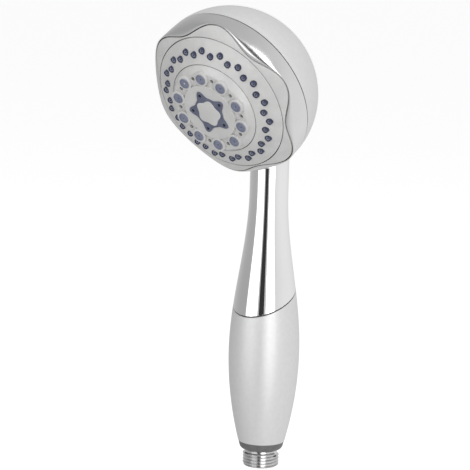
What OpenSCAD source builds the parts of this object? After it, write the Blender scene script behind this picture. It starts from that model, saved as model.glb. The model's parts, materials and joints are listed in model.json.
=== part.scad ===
// Handheld shower head: a bulbous grip with a threaded hose inlet, a slim neck, and a
// domed head whose scalloped ring turns to choose the spray.
// The origin is the centre of the inlet's end face. +Z runs up the handle, and the
// spray face looks towards -Y, tipped down. Sizes are in millimetres.

/* [Handle] */
// Outside diameter of the hose thread
thread_d = 20.955; // [20.955:G1/2, 26.441:G3/4]
// Length of the threaded stub
thread_len = 10.2; // [8.4:0.1:16]
// Height of the dark ring above the thread
end_ring_h = 4.4; // [3:0.1:8]
// Diameter of the grip at its fattest place
belly_d = 40.6; // [36:0.2:52]
// Height of the fattest place above the inlet end
belly_z = 67; // [52:1:84]
// Diameter of the neck below the head
neck_d = 22; // [21:0.2:30]
// Height at which the grip has narrowed to the neck
neck_z = 160; // [140:1:172]
// Height of the seam between grip and neck, on the axis
seam_z = 99.3; // [92:0.1:110]
// Tilt of the seam, low at the front
seam_tilt = 26; // [0:1:30]
// Wall of the grip sleeve
grip_wall = 2.2; // [1.6:0.1:3]
// Wall of the neck
neck_wall = 1.3; // [1:0.05:1.6]

/* [Head] */
// Height of the dome's centre above the inlet end
head_z = 218.3; // [205:1:262]
// Tilt of the spray face below the horizontal
face_tilt = 27.4; // [15:0.2:35]
// How far the handle's axis lies inside the back of the dome
axis_inset = 9.7; // [8:0.1:14]
// Depth of the dome behind its widest ring
dome_depth = 46; // [40:1:55]
// Distance from the middle of the face back to the dome's widest ring
dome_lead = 22; // [21:0.5:26]
// Wall of the back shell
shell_wall = 2; // [1.6:0.1:2.6]

/* [Spray face] */
// Diameter of the raised middle disc
disc_d = 54; // [52:0.5:66]
// Width of the sloping band around the disc
band_w = 13.4; // [12.2:0.2:16]
// Fall of the band for each millimetre outwards
band_slope = 0.46; // [0.3:0.02:0.55]
// Width of the selector ring around the band
ring_w = 7.6; // [7:0.1:9.4]
// Small nozzles in each of the band's two rows
rim_nozzles = 18; // [12:1:18]
// Large nozzles on the disc
large_nozzles = 10; // [8:1:10]
// Radius of a large nozzle
large_r = 3; // [2.4:0.1:3.1]
// Jets in the star, one at each point
star_points = 5; // [4:1:6]

/* [Selector] */
// Finger lobes round the selector ring
lobes = 6; // [5:1:8]
// How far a lobe reaches out past a valley
lobe_reach = 6; // [3:0.1:6.2]
// Turn between two spray positions
click_angle = 30; // [24:1:30]
// Travel of the detent plunger into its pocket
click_depth = 0.8; // [0.4:0.1:1]

/* [Fits] */
// Gap between fixed and moving outside edges
edge_gap = 0.45; // [0.3:0.05:0.8]
// Radial clearance of a running fit
run_fit = 0.07; // [0.02:0.01:0.1]
// Radial clearance between parts that are pushed together
push_fit = 0.05; // [0.02:0.01:0.1]

/* [Hidden] */
$fn = 96;
tiny = 0.01;

// Hose thread
thread_pitch = 1.814;
thread_depth = 1.1618;
thread_r = thread_d/2;
root_r = thread_r - thread_depth;
crest_w = 0.3;
flank_w = thread_depth*tan(27.5);
crests = floor((thread_len - 2.6)/thread_pitch) + 1;

// Handle outline
grip_z = thread_len + end_ring_h;
grip_end_r = thread_r + 2.9;
belly_r = belly_d/2;
neck_r = neck_d/2;
taper_z = head_z - 35;
taper_len = 36;
seam_gap = 0.5;
function blend(t) = 0.5 + 0.5*cos(180*t);
function body_r(z) =
    z < belly_z ? belly_r - (belly_r - grip_end_r)*pow((belly_z - z)/(belly_z - grip_z), 2) :
    z < neck_z ? neck_r + (belly_r - neck_r)*blend((z - belly_z)/(neck_z - belly_z)) :
    z < taper_z ? neck_r :
    neck_r*sqrt(max(0, 1 - pow((z - taper_z)/taper_len, 2)));

// Water way through the handle
spigot_r = root_r + 0.1;
spigot_top = grip_z + 21.4;
grip_floor = grip_z + 7.8;
clip_h = 1.2;
clip_r = spigot_r - 1.1;
bore_r = 4.2;
tube_r = 6.5;
tube_from = spigot_top - 10;
socket_r = tube_r + push_fit;
filter_r = 7.2;
filter_h = 3.2;
limiter_r = 6.2;
limiter_h = 3.8;
limiter_z = filter_h + 4.2;
oring_w = 1.3;
coupling_r = body_r(seam_z + belly_r*tan(seam_tilt)*0.45) - 2.2;
coupling_w = 1.4;
coupling_z = seam_z - 15;

// Head layout. h is measured along the spray direction from the large nozzles' tips.
disc_r = disc_d/2;
face_r = disc_r + band_w;
head_r = face_r + ring_w;
reach = sqrt(pow(head_r*sin(face_tilt), 2) + pow(dome_depth*cos(face_tilt), 2)) - axis_inset;
face_y = -reach - dome_lead*cos(face_tilt);
face_z = head_z - dome_lead*sin(face_tilt);
disc_drop = 4.9;
function band_h(r) = -disc_drop - band_slope*(r - disc_r);
seam_h = -dome_lead - 2.8;
ring_back_h = seam_h + 0.5;
rim_turn = -1.5;
disc_turn = -2.5;
lobe_turn = 17;

// Selector ring
inner_ring_r = face_r + edge_gap;
valley_r = inner_ring_r + 0.75;
pocket_h = band_h(valley_r + lobe_reach) - 2.5;
pocket_gap = 0.4;
rim_w = 0.55;
barrel = 0.3;
ring_bore_r = inner_ring_r + 0.13;
ring_end_r = head_r - 0.1;
outline_points = 96;
function lobe(a) = 0.5 + 0.5*cos(lobes*(a - lobe_turn));
function trim_r(a) = valley_r + lobe_reach*lobe(a);
function outline(grow) = [for (i = [0:outline_points - 1]) let (a = 360*i/outline_points)
    (trim_r(a) + grow)*[cos(a), sin(a)]];

// Valve stack behind the face
rotor_r = face_r - 3.4;
rotor_back_h = ring_back_h - 0.2;
rotor_front_h = rotor_back_h + 5;
flange_h = 2;
base_back_h = rotor_front_h + 0.3;
base_front_h = base_back_h + 2.8;
base_r = face_r - 2.2;
chamber_r = rotor_r + run_fit;
chamber_wall = 2.4;
chamber_out_r = chamber_r + chamber_wall;
chamber_rim_h = rotor_front_h - flange_h - 0.3;
chamber_floor_h = rotor_back_h - 5.5;
chamber_back_h = chamber_floor_h - 2.5;
post_r = 7;
hub_r = 10.2;
hub_top_h = -9.2;
port_ring_r = 22;
port_r = 2.6;
lug_r = chamber_out_r + 3.1;
lug_back_h = seam_h - 3.8;
lug_front_h = seam_h - 1.6;
boss_r = 2.8;
screw_r = 1.5;
screw_hole_r = screw_r + push_fit;
lug_angles = [90, 210, 330];
stop_ring_r = 14.6;
stop_r = 1.2;
travel = 2*click_angle;
rotor_groove_h = rotor_back_h + 1.4;

// Detent
click_ring_r = 29;
plunger_r = 2;
plunger_len = 4.4;
click_tip_h = rotor_back_h - run_fit;
click_back_h = chamber_back_h - 4;
click_bore_r = plunger_r + push_fit;
pocket_r = plunger_r + 0.4;
spring_wire = 0.45;
spring_turns = 5;

// Elbow between tube and chamber
land_r = chamber_r - bore_r - 0.4;
elbow_z = head_z + (reach*sin(face_tilt) - land_r)/cos(face_tilt);
elbow_h = -dome_lead - reach*cos(face_tilt) - (elbow_z - head_z)*sin(face_tilt);
elbow_wall = 1.8;
elbow_socket_z = elbow_z - 8;
elbow_end_z = elbow_z - 20;
elbow_screw_x = 12;
tube_to = elbow_socket_z - 0.3;

// Middle disc and nozzles
disc_top_h = -1.7;
disc_flat_r = disc_r - 3;
plateau_h = -0.4;
disc_wall = 2;
disc_under_h = disc_top_h - disc_wall;
disc_skirt_h = -8;
large_ring_r = disc_r - 6.3;
plateau_r = large_ring_r - 3.9;
pad_r = large_r + 1.25;
small_r = 1.15;
mat_h = 1.2;
mat_r = disc_r - 2.8;
rim_outer_r = face_r - 6.25;
rim_inner_r = face_r - 8.3;
rim_r = 1.85;
rim_tip_r = 1.55;
rim_stand = 0.75;
face_wall = 2;
jet_ring_r = 10.8;
jet_r = 0.95;
star_side_r = 9.2;
star_tip_r = 13.3;
star_top_h = 0.2;
star_back_h = -3;
star_flange_r = 14.4;
star_foot_h = -4.2;
cap_top_h = 0.4;
cap_stem_r = 6;
clamp_r = 2;
washer_h = 1;
washer_r = 9;
star_turn = 90 + 180/large_nozzles - 3.3;
function star_r(a) = star_side_r + (star_tip_r - star_side_r)
    *pow(0.5 + 0.5*cos(star_points*(a - star_turn)), 2.4);
function cap_r(a) = 7.4 - 0.7*cos(star_points*(a - star_turn));
function star_outline(grow) = [for (a = [0:3:357]) (star_r(a) + grow)*[cos(a), sin(a)]];
function cap_outline(grow) = [for (a = [0:3:357]) (cap_r(a) + grow)*[cos(a), sin(a)]];

// Placing helpers

// The head's own frame: z along the spray direction, y up the face
module at_face() {
    translate([0, face_y, face_z]) rotate([90 + face_tilt, 0, 0]) children();
}

// A place on a circle of the head's frame, h along the spray direction
module polar(r, a, h) {
    rotate([0, 0, a]) translate([r, 0, h]) children();
}

// A cylinder that runs from one height to another
module rod(r, from, to) {
    translate([0, 0, from]) cylinder(r = r, h = to - from);
}

module tube(r_out, r_in, from, to) {
    difference() {
        rod(r_out, from, to);
        rod(r_in, from - 1, to + 1);
    }
}

// A round seal: its middle circle, its section and its height
module oring(r, section, h) {
    translate([0, 0, h]) rotate_extrude() translate([r, 0]) circle(r = section, $fn = 24);
}

// Solid of the handle's outline, grown or shrunk, between two heights
module handle_solid(from, to, grow) {
    steps = 44;
    rotate_extrude() polygon(concat([[0, from]],
        [for (i = [0:steps]) let (z = from + (to - from)*i/steps)
            [max(tiny, body_r(z) + grow), z]],
        [[0, to]]));
}

// Solid of the dome behind its widest ring, shrunk by a wall
module dome_solid(wall) {
    steps = 24;
    rotate_extrude() polygon(concat([[0, -dome_lead]],
        [for (i = [0:steps - 1]) let (a = 90*i/steps)
            [(head_r - wall)*cos(a), -dome_lead - (dome_depth - wall)*sin(a)]],
        [[0, -dome_lead - dome_depth + wall]]));
}

// The three places where the chamber is screwed to the shell
module at_lugs() {
    for (a = lug_angles) polar(lug_r, a, 0) children();
}

// Everything below the seam plane, moved up by lift
module below_seam(lift) {
    side = 4*belly_r;
    translate([0, 0, seam_z + lift]) rotate([seam_tilt, 0, 0])
        translate([-side/2, -side, -head_z]) cube([side, 2*side, head_z]);
}

// Head shell

module back_shell() color("silver") difference() {
    at_face() {
        difference() {
            dome_solid(0);
            dome_solid(shell_wall);
            rod(head_r + 1, seam_h, 1);
        }
        intersection() {
            dome_solid(shell_wall/2);
            difference() {
                at_lugs() rod(boss_r, -dome_lead - dome_depth, lug_back_h);
                at_lugs() rod(screw_hole_r, lug_back_h - 7, lug_back_h + 1);
            }
        }
    }
    handle_solid(seam_z, taper_z + taper_len, push_fit);
}

// Low-friction ring on the shell's edge, seen as the thin dark line
module glide_ring() color("dimgray") at_face()
    tube(head_r - 0.5, head_r - shell_wall - 0.4, seam_h, ring_back_h - 0.12);

// Handle

module neck_sleeve() color("gainsboro") difference() {
    union() {
        difference() {
            handle_solid(seam_z - belly_r, taper_z + taper_len, 0);
            below_seam(seam_gap/2);
        }
        rod(coupling_r, coupling_z, seam_z + belly_r*0.7);
    }
    rod(coupling_r - coupling_w, coupling_z - 1, seam_z + 2*coupling_w);
    intersection() {
        handle_solid(seam_z, taper_z + taper_len, -neck_wall);
        rod(coupling_r - coupling_w, seam_z, head_z + taper_len);
    }
    at_face() {
        dome_solid(shell_wall);
        // A fat neck is cut back where it would reach the turning ring
        rod(head_r + edge_gap, seam_h, 0);
    }
}

module neck_gasket() color("dimgray") difference() {
    intersection() {
        handle_solid(seam_z - belly_r, seam_z + belly_r, -0.35);
        below_seam(seam_gap/2);
    }
    below_seam(-seam_gap/2);
    rod(coupling_r + push_fit, 0, head_z);
}

module grip_sleeve() color("silver") difference() {
    intersection() {
        handle_solid(grip_z, seam_z + belly_r, 0);
        below_seam(-seam_gap/2);
    }
    rod(spigot_r + push_fit, 0, head_z);
    difference() {
        handle_solid(grip_floor, coupling_z - 1, -grip_wall);
        rod(belly_r, grip_floor - 1, grip_floor);
    }
    rod(coupling_r + push_fit, coupling_z - 2, head_z);
}

module end_ring() color("dimgray") difference() {
    rotate_extrude() polygon([[0, thread_len], [thread_r + 0.9, thread_len],
        [thread_r + 1.9, thread_len + 1.1], [grip_end_r - 0.15, grip_z], [0, grip_z]]);
    rod(spigot_r + push_fit, 0, grip_z + 1);
}

// Thread crests as rings: the true crest and root diameters and the true pitch
module thread_crest(z) {
    translate([0, 0, z]) rotate_extrude() polygon([[root_r - 1, -crest_w/2 - flank_w],
        [root_r, -crest_w/2 - flank_w], [thread_r, -crest_w/2], [thread_r, crest_w/2],
        [root_r, crest_w/2 + flank_w], [root_r - 1, crest_w/2 + flank_w]]);
}

module inlet_connector() color("lightgray") difference() {
    union() {
        rod(root_r, 0, thread_len);
        for (i = [0:crests - 1]) thread_crest(0.95 + i*thread_pitch);
        rod(spigot_r, thread_len, spigot_top);
    }
    rod(filter_r, -1, filter_h);
    rod(limiter_r + push_fit, -1, limiter_z + limiter_h);
    rod(bore_r, -1, spigot_top + 1);
    rod(socket_r, tube_from, spigot_top + 1);
    tube(spigot_r + 1, clip_r, grip_floor, grip_floor + clip_h);
}

module retaining_clip() color("lightsteelblue") difference() {
    tube(spigot_r + 3, clip_r + push_fit, grip_floor, grip_floor + clip_h - 0.1);
    translate([-clip_r*0.8, -2*spigot_r, grip_floor - 1]) cube([clip_r*1.6, 2*spigot_r, clip_h + 2]);
}

// Strainer in the mouth of the inlet
module inlet_filter() color("white") {
    tube(filter_r - push_fit, filter_r - 1.6, 0.6, filter_h);
    difference() {
        rod(filter_r - 1.3, filter_h - 0.8, filter_h);
        for (x = [-4:2:4], y = [-4:2:4]) if (norm([x, y]) < filter_r - 2.6)
            translate([x, y, 0]) rod(0.6, 0, filter_h + 1);
    }
}

// Disc that limits the flow, with a ring of small holes
module flow_limiter() color("mediumseagreen") difference() {
    rod(limiter_r, limiter_z, limiter_z + limiter_h);
    tube(limiter_r + 1, limiter_r - oring_w, limiter_z + 1.2, limiter_z + 1.2 + oring_w + 0.2);
    for (a = [0:60:300]) polar(2.6, a, 0) rod(0.8, 0, limiter_z + limiter_h + 1);
}

module limiter_oring() color("black")
    oring(limiter_r - oring_w/2, oring_w/2 - 0.01, limiter_z + 1.2 + oring_w/2 + 0.1);

module tube_grooves() {
    for (z = [tube_from + 3, tube_to - 4])
        tube(tube_r + 1, tube_r - oring_w, z - oring_w/2 - 0.1, z + oring_w/2 + 0.1);
}

module water_tube() color("white") difference() {
    tube(tube_r, bore_r, tube_from + 0.3, tube_to);
    tube_grooves();
}

module tube_orings() color("black") {
    for (z = [tube_from + 3, tube_to - 4]) oring(tube_r - oring_w/2, oring_w/2 - 0.01, z);
}

// Elbow: a socket for the tube, a bend, and a flange on the back of the chamber
module inlet_elbow() color("whitesmoke") difference() {
    union() {
        rod(socket_r + elbow_wall, elbow_end_z, elbow_socket_z + 2);
        rod(bore_r + elbow_wall + 0.5, elbow_socket_z, elbow_z);
        translate([0, 0, elbow_z]) sphere(r = bore_r + elbow_wall + 0.9);
        at_face() translate([0, -land_r, 0]) {
            rod(bore_r + elbow_wall + 0.5, elbow_h, chamber_back_h);
            rod(bore_r + 4.4, chamber_back_h - 2.4, chamber_back_h);
            translate([-elbow_screw_x, -3.2, chamber_back_h - 2.4])
                cube([2*elbow_screw_x, 6.4, 2.4]);
            for (x = [-1, 1]) translate([x*elbow_screw_x, 0, 0])
                rod(3.2, chamber_back_h - 2.4, chamber_back_h);
        }
    }
    rod(socket_r, elbow_end_z - 1, elbow_socket_z);
    rod(bore_r, elbow_end_z, elbow_z);
    translate([0, 0, elbow_z]) sphere(r = bore_r + 0.3);
    at_face() translate([0, -land_r, 0]) {
        rod(bore_r, elbow_h, chamber_back_h + 1);
        tube(bore_r + 2.4, bore_r + 0.8, chamber_back_h - 1.2, chamber_back_h + 1);
        for (x = [-1, 1]) translate([x*elbow_screw_x, 0, 0])
            rod(screw_hole_r, chamber_back_h - 3, chamber_back_h + 1);
    }
}

module elbow_oring() color("black") at_face() translate([0, -land_r, 0])
    oring(bore_r + 1.6, 0.58, chamber_back_h - 0.6);

// A pan-head screw with a cross slot: its head's top at z = 0 and its shank below
module pan_screw(shank_r, pan_r, pan_h, len) {
    difference() {
        rod(pan_r, -pan_h, 0);
        for (a = [0, 90]) rotate([0, 0, a])
            translate([-pan_r*0.55, -0.35, -pan_h*0.6]) cube([pan_r*1.1, 0.7, pan_h]);
    }
    rod(shank_r, -pan_h - len, -pan_h + tiny);
}

module elbow_screws() color("lightsteelblue") at_face() elbow_screw_places()
    translate([0, 0, chamber_back_h - 2.4 - 1.6]) rotate([180, 0, 0]) pan_screw(screw_r, 2.8, 1.6, 6.2);

// The two screws of the elbow's flange
module elbow_screw_places() {
    for (x = [-1, 1]) translate([x*elbow_screw_x, -land_r, 0]) children();
}

// Valve parts

module water_chamber() color("whitesmoke") at_face() difference() {
    union() {
        tube(chamber_out_r, chamber_r, chamber_back_h, chamber_rim_h);
        rod(chamber_out_r, chamber_back_h, chamber_floor_h);
        rod(post_r, chamber_floor_h - 1, hub_top_h - 0.2);
        at_lugs() rod(boss_r - 0.3, lug_back_h, lug_front_h);
        for (a = lug_angles) rotate([0, 0, a]) translate([chamber_r + 1, -2.4, lug_back_h])
            cube([lug_r - chamber_r - 1, 4.8, lug_front_h - lug_back_h]);
        polar(click_ring_r, 90, 0) rod(plunger_r + 1.6, click_back_h - 1.6, rotor_back_h - 1);
        elbow_screw_places() rod(screw_r + 1.6, chamber_back_h, chamber_back_h + 5.4);
    }
    polar(click_ring_r, 90, 0) rod(click_bore_r, click_back_h, 1);
    at_lugs() rod(screw_hole_r, lug_back_h - 1, lug_front_h + 1);
    translate([0, -land_r, 0]) rod(bore_r, chamber_back_h - 1, chamber_floor_h + 1);
    elbow_screw_places() rod(screw_hole_r, chamber_back_h - 1, chamber_back_h + 4.2);
    rod(clamp_r + push_fit, rotor_back_h, 0);
}

module chamber_screws() color("lightsteelblue") at_face() at_lugs()
    translate([0, 0, lug_front_h + 1.3]) pan_screw(screw_r, 2.6, 1.3, 8);

module diverter_rotor() color("khaki") at_face() difference() {
    union() {
        rod(rotor_r, rotor_back_h, rotor_front_h - tiny);
        rod(ring_bore_r - push_fit, rotor_front_h - flange_h, rotor_front_h);
        rod(post_r + 4, rotor_back_h - 2, rotor_front_h);
        ring_keys(0);
    }
    rod(post_r + run_fit, rotor_back_h - 3, rotor_front_h + 1);
    tube(rotor_r + 1, rotor_r - oring_w - 0.1, rotor_groove_h - 0.8, rotor_groove_h + 0.8);
    tube(post_r + run_fit + oring_w + 0.1, post_r, rotor_groove_h - 0.8, rotor_groove_h + 0.8);
    polar(port_ring_r, -90, 0) {
        rod(port_r, rotor_back_h - 1, rotor_front_h + 1);
        rod(port_r + 1.5, rotor_front_h - 1.2, rotor_front_h + 1);
    }
    for (i = [-3:3]) polar(click_ring_r, 90 + i*click_angle, click_tip_h + click_depth + 0.1
        - pocket_r) sphere(r = pocket_r);
    stop_slot();
}

// Keys that carry the ring's turn to the rotor
module ring_keys(grow) {
    for (a = [0:360/lobes:359]) rotate([0, 0, a + lobe_turn])
        translate([ring_bore_r - 1, -2 - grow, rotor_front_h - flange_h - grow])
            cube([2.2 + grow, 4 + 2*grow, flange_h + 2*grow]);
}

// Slot in the rotor's front that the stop peg runs in
module stop_slot() {
    spread = travel + asin((stop_r + 0.15)/stop_ring_r);
    rotate([0, 0, 90 - spread]) rotate_extrude(angle = 2*spread)
        translate([stop_ring_r - stop_r - 0.2, rotor_front_h - 2]) square([2*stop_r + 0.4, 3]);
}

module rotor_orings() color("black") at_face() {
    oring(rotor_r - oring_w/2, oring_w/2 + run_fit - 0.02, rotor_groove_h);
    oring(post_r + run_fit + oring_w/2, oring_w/2, rotor_groove_h);
}

// Rubber lip round the rotor's port
module port_seal() color("black") at_face() polar(port_ring_r, -90, 0)
    tube(port_r + 1.45, port_r - 0.2, rotor_front_h - 1.2, base_back_h - 0.04);

module detent_plunger() color("gold") at_face() polar(click_ring_r, 90, 0) {
    rod(plunger_r, click_tip_h - plunger_len, click_tip_h - plunger_r);
    translate([0, 0, click_tip_h - plunger_r]) sphere(r = plunger_r);
}

// One turn of wire after another, swept round the plunger's axis
module detent_spring() color("lightsteelblue") at_face() polar(click_ring_r, 90, 0) {
    sides = 6;
    coil_r = plunger_r - spring_wire - 0.1;
    from = click_back_h + spring_wire/2 + 0.05;
    rise = click_tip_h - plunger_len - spring_wire - 0.1 - click_back_h;
    rings = spring_turns*14;
    points = [for (i = [0:rings], k = [0:sides - 1])
        let (t = 360*spring_turns*i/rings, b = 360*k/sides, r = coil_r + spring_wire/2*cos(b))
            [r*cos(t), r*sin(t), from + rise*i/rings + spring_wire/2*sin(b)]];
    sweep = [for (i = [0:rings - 1], k = [0:sides - 1])
        let (a = i*sides + k, b = i*sides + (k + 1) % sides)
            each [[a, b, b + sides], [a, b + sides, a + sides]]];
    start = [for (k = [1:sides - 2]) [0, k + 1, k]];
    end = [for (k = [1:sides - 2]) [rings*sides, rings*sides + k, rings*sides + k + 1]];
    polyhedron(points, concat(sweep, start, end));
}

// Spray side

module spray_base() color("whitesmoke") at_face() difference() {
    union() {
        rod(base_r, base_back_h, base_front_h);
        rod(hub_r, base_back_h, hub_top_h);
        tube(star_flange_r - 0.6, star_flange_r - 1.8, base_front_h - tiny, star_foot_h);
        tube(disc_r - 0.4, disc_r - 1.8, base_front_h - tiny, disc_skirt_h);
        tube(disc_r + 2.4, disc_r + 1.2, base_front_h - tiny, band_h(disc_r) - face_wall - 4);
        tube(base_r, base_r - 1.2, base_front_h - tiny, base_front_h + 1.2);
        for (i = [-3:2]) rotate([0, 0, -90 + (i + 0.5)*click_angle])
            translate([star_flange_r - 1, -0.6, base_front_h - tiny])
                cube([disc_r - star_flange_r - 0.2, 1.2, 4]);
        polar(stop_ring_r, 90, 0) rod(stop_r, rotor_front_h - 1.6, base_back_h + 1);
    }
    rod(post_r + push_fit, rotor_front_h - 5, 0);
    for (i = [-2:2]) polar(port_ring_r, -90 + i*click_angle, 0)
        rod(port_r - 0.4, base_back_h - 1, base_front_h + 1);
}

// Places of the small nozzles: two rows, half a step apart
module at_rim_nozzles() {
    for (i = [0:rim_nozzles - 1]) {
        polar(rim_outer_r, 90 + rim_turn + 360*i/rim_nozzles, band_h(rim_outer_r)) children();
        polar(rim_inner_r, 90 + rim_turn + 360*(i + 0.5)/rim_nozzles, band_h(rim_inner_r))
            children();
    }
}

module spray_face() color("gainsboro") at_face() difference() {
    rotate_extrude() polygon([
        [disc_r + push_fit, band_h(disc_r)], [face_r, band_h(face_r)],
        [face_r, base_back_h + 0.3], [base_r + push_fit, base_back_h + 0.3],
        [base_r + push_fit, band_h(base_r) - face_wall],
        [disc_r + 2.6, band_h(disc_r + 2.6) - face_wall],
        [disc_r + 1.1, band_h(disc_r) - face_wall - 0.6],
        [disc_r + 1.1, disc_skirt_h], [disc_r + push_fit, disc_skirt_h]]);
    at_rim_nozzles() rod(rim_r + push_fit, -face_wall - 2, 2);
}

// Rubber mat behind the band, with its nozzles standing out through it
module rim_nozzle_mat() color("slategray") at_face() difference() {
    union() {
        rotate_extrude() polygon([for (c = [[rim_inner_r - 2.6, 0], [rim_outer_r + 2.6, 0],
            [rim_outer_r + 2.6, -mat_h], [rim_inner_r - 2.6, -mat_h]])
            [c[0], band_h(c[0]) - face_wall - 0.02 + c[1]]]);
        at_rim_nozzles() {
            rod(rim_r, -face_wall - 1.2, 0.2);
            translate([0, 0, 0.19]) cylinder(r1 = rim_r, r2 = rim_tip_r, h = rim_stand - 0.19);
        }
    }
    at_rim_nozzles() {
        rod(0.45, -face_wall - 4, rim_stand + 1);
        rod(1.1, -face_wall - 4, -1);
    }
}

// Places round the middle disc, from the large nozzles, with a turn from the first
module at_large_nozzles(turn) {
    for (i = [0:large_nozzles - 1])
        polar(large_ring_r, 90 + disc_turn + turn + 360*i/large_nozzles, 0) children();
}

module inner_disc() color("gainsboro") at_face() difference() {
    union() {
        rotate_extrude() polygon([[0, disc_top_h], [disc_flat_r, disc_top_h],
            [disc_r, band_h(disc_r)], [disc_r, disc_skirt_h], [disc_r - 1.8, disc_skirt_h],
            [disc_r - 1.8, disc_under_h], [0, disc_under_h]]);
        rod(plateau_r, disc_under_h, plateau_h);
        at_large_nozzles(0) rod(pad_r, disc_under_h, plateau_h);
    }
    at_large_nozzles(0) rod(large_r + push_fit, disc_under_h - 1, 1);
    at_large_nozzles(180/large_nozzles) rod(small_r, disc_under_h - 1, 1);
    translate([0, 0, star_back_h]) linear_extrude(5) polygon(star_outline(push_fit));
    rod(star_flange_r + push_fit, disc_under_h - 1, star_back_h);
}

module disc_nozzle_mat() color("slategray") at_face() difference() {
    union() {
        tube(mat_r, star_flange_r + 0.6, disc_under_h - mat_h, disc_under_h);
        at_large_nozzles(0) rod(large_r, disc_under_h - mat_h, 0);
    }
    at_large_nozzles(0) rod(0.6, disc_under_h - mat_h - 1, 1);
    at_large_nozzles(180/large_nozzles) rod(small_r + 0.3, disc_under_h - mat_h - 1, 1);
}

module star_insert() color("dimgray") at_face() difference() {
    union() {
        translate([0, 0, star_back_h - tiny]) linear_extrude(star_top_h - star_back_h + tiny)
            polygon(star_outline(0));
        rod(star_flange_r, star_foot_h, star_back_h);
    }
    translate([0, 0, star_back_h]) linear_extrude(5) polygon(cap_outline(0));
    rod(cap_stem_r + push_fit, star_foot_h - 1, star_back_h + 1);
    for (i = [0:star_points - 1]) polar(jet_ring_r, star_turn + 360*i/star_points, 0)
        rod(jet_r, star_foot_h - 1, 1);
}

module centre_cap() color("gainsboro") at_face() {
    translate([0, 0, star_back_h]) linear_extrude(cap_top_h - star_back_h)
        polygon(cap_outline(-push_fit));
    rod(cap_stem_r, star_foot_h, star_back_h + tiny);
}

module screw_washer() color("lightsteelblue") at_face()
    tube(washer_r, clamp_r + 0.2, hub_top_h, hub_top_h + washer_h);

module centre_screw() color("lightsteelblue") at_face()
    translate([0, 0, hub_top_h + washer_h + 2.4]) pan_screw(clamp_r, 3.8, 2.4, 14);

// Selector

// Cross-section of the scalloped ring at one angle: a flat back, a lip round the trim,
// and an outside that scoops in between the lobes
function ring_section(a) =
    let (steps = 9, lip_r = trim_r(a) + pocket_gap + rim_w, lip_h = band_h(lip_r) - 0.15)
    concat([[ring_bore_r - 2, ring_back_h], [ring_bore_r - 2, lip_h]],
        [for (i = [0:steps]) let (s = 90*i/steps)
            [lip_r + (ring_end_r - lip_r)*sin(s) + barrel*lobe(a)*sin(2*s),
             lip_h + (ring_back_h - lip_h)*(1 - cos(s))]]);

module scalloped_solid() {
    sections = [for (i = [0:outline_points - 1]) let (a = 360*i/outline_points)
        [for (p = ring_section(a)) [p[0]*cos(a), p[0]*sin(a), p[1]]]];
    n = len(sections[0]);
    faces = [for (i = [0:outline_points - 1], k = [0:n - 1])
        let (a = i*n + k, b = i*n + (k + 1) % n, c = ((i + 1) % outline_points)*n)
            each [[a, b, c + (k + 1) % n], [a, c + (k + 1) % n, c + k]]];
    polyhedron([for (section = sections) each section], faces);
}

module selector_ring() color("gainsboro") at_face() difference() {
    scalloped_solid();
    rod(ring_bore_r, ring_back_h - 1, 0);
    translate([0, 0, pocket_h]) linear_extrude(20) polygon(outline(pocket_gap));
    key_slots();
}

// Slots for the rotor's keys, open at the back so that the rotor can go in
module key_slots() {
    for (a = [0:360/lobes:359]) rotate([0, 0, a + lobe_turn])
        translate([ring_bore_r - 1, -2 - push_fit, ring_back_h - 1])
            cube([2.2 + push_fit, 4 + 2*push_fit, rotor_front_h - ring_back_h + 1 + push_fit]);
}

// Light wavy trim that fills the ring's pocket and carries the band's slope outwards
module trim_ring() color("gainsboro") at_face() intersection() {
    difference() {
        translate([0, 0, pocket_h]) linear_extrude(10) polygon(outline(0));
        rod(inner_ring_r, pocket_h - 1, 0);
    }
    rotate_extrude() polygon([[0, pocket_h], [head_r + 2, pocket_h],
        [head_r + 2, band_h(head_r + 2)], [disc_r, band_h(disc_r)], [0, band_h(disc_r)]]);
}

back_shell();
glide_ring();
neck_sleeve();
neck_gasket();
grip_sleeve();
end_ring();
inlet_connector();
retaining_clip();
inlet_filter();
flow_limiter();
limiter_oring();
water_tube();
tube_orings();
inlet_elbow();
elbow_oring();
elbow_screws();
water_chamber();
chamber_screws();
spray_base();
spray_face();
rim_nozzle_mat();
inner_disc();
disc_nozzle_mat();
star_insert();
centre_cap();
centre_screw();
screw_washer();
selector_ring();
trim_ring();
diverter_rotor();
rotor_orings();
port_seal();
detent_plunger();
detent_spring();
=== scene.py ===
# %% [markdown]
# # A handheld shower head
# The hand shower is built around a CAD model that is already the right size: the frame below
# loads it, and every piece made here goes where the frame says. The handle stands along Z, and
# the spray face looks towards -Y and a little down. Blender's unit is the metre, so small sizes
# are written in millimetres and multiplied by MM.

# %% Load the frame
import json
from math import asin, atan2, cos, degrees, pi, radians, sin, sqrt, tan, tau

import bpy
from mathutils import Matrix, Vector


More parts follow.
